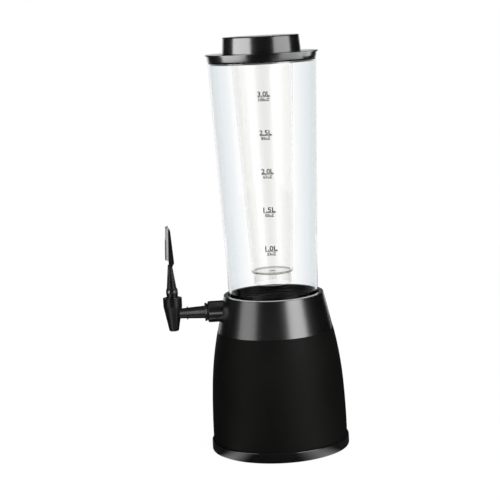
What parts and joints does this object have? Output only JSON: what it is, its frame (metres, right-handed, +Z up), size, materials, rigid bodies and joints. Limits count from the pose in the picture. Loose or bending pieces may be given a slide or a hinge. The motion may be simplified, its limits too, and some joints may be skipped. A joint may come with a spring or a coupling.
{
  "type": "beer tower dispenser",
  "caption": "Table-top drink tower: clear tapered tube with a hanging ice tube and lid on a weighted black base, with a lever tap at its side.",
  "frame": {"origin": "centre of the rubber pad's underside, on the table, on the tower's axis", "axes": "+Z up along the tower; the tap points along -X"},
  "size_m": [0.2176, 0.1676, 0.4995],
  "materials": {
    "gloss_black": "gloss",
    "matte_black": "matte, fine grain",
    "tap_black": "semi-gloss",
    "clear_tube": "clear",
    "clear_ice_tube": "clear",
    "rubber_black": "matte",
    "silicone": "satin",
    "weight_steel": "turned",
    "steel": "bright",
    "plate_grey": "satin"
  },
  "bodies": {
    "base": {"base_pad": "rubber_black", "bottom_plate": "matte_black", "plate_screws": "steel", "ballast_disc": "weight_steel", "ballast_screws": "steel", "base_ring": "gloss_black", "body_shell": "matte_black", "collar": "gloss_black", "collar_screws": "steel", "reservoir_cup": "matte_black", "tube_gasket": "silicone", "shank_washer": "rubber_black", "nut_washer": "rubber_black", "lock_nut": "tap_black", "tap_body": "tap_black", "tap_bonnet": "tap_black", "bonnet_gasket": "rubber_black", "return_spring": "steel", "pivot_pin": "steel"},
    "tube": {"beverage_tube": "clear_tube"},
    "lid": {"lid": "gloss_black", "lid_gasket": "silicone"},
    "ice_insert": {"ice_tube": "clear_ice_tube", "ice_tube_gasket": "silicone"},
    "cap": {"ice_cap": "gloss_black", "cap_liner": "silicone"},
    "handle": {"tap_handle": "tap_black", "handle_plate": "plate_grey", "lift_pin": "steel"},
    "stem": {"valve_stem": "steel", "stem_head": "tap_black", "seat_cup": "silicone"}
  },
  "joints": [
    {"name": "handle_tilt", "type": "hinge", "parent": "base", "child": "handle", "pos_m": [-0.1224, 0, 0.1986], "axis": [0, -1, 0], "range_deg": [0, 30], "stiffness_Nm_per_rad": 0.1, "springref_deg": -20.05},
    {"name": "stem_lift", "type": "slide", "parent": "base", "child": "stem", "axis": [0, 0, 1], "range_m": [0, 0.00241], "deforming": ["return_spring"]},
    {"name": "tube_lift", "type": "slide", "parent": "base", "child": "tube", "axis": [0, 0, 1], "range_m": [0, 0.03]},
    {"name": "lid_lift", "type": "slide", "parent": "tube", "child": "lid", "axis": [0, 0, 1], "range_m": [0, 0.3]},
    {"name": "ice_tube_lift", "type": "slide", "parent": "lid", "child": "ice_insert", "axis": [0, 0, 1], "range_m": [0, 0.3]},
    {"name": "cap_lift", "type": "slide", "parent": "ice_insert", "child": "cap", "axis": [0, 0, 1], "range_m": [0, 0.03]}
  ],
  "couplings": [
    {"joint": "stem_lift", "follows": "handle_tilt", "m_per_rad": 0.004584}
  ]
}
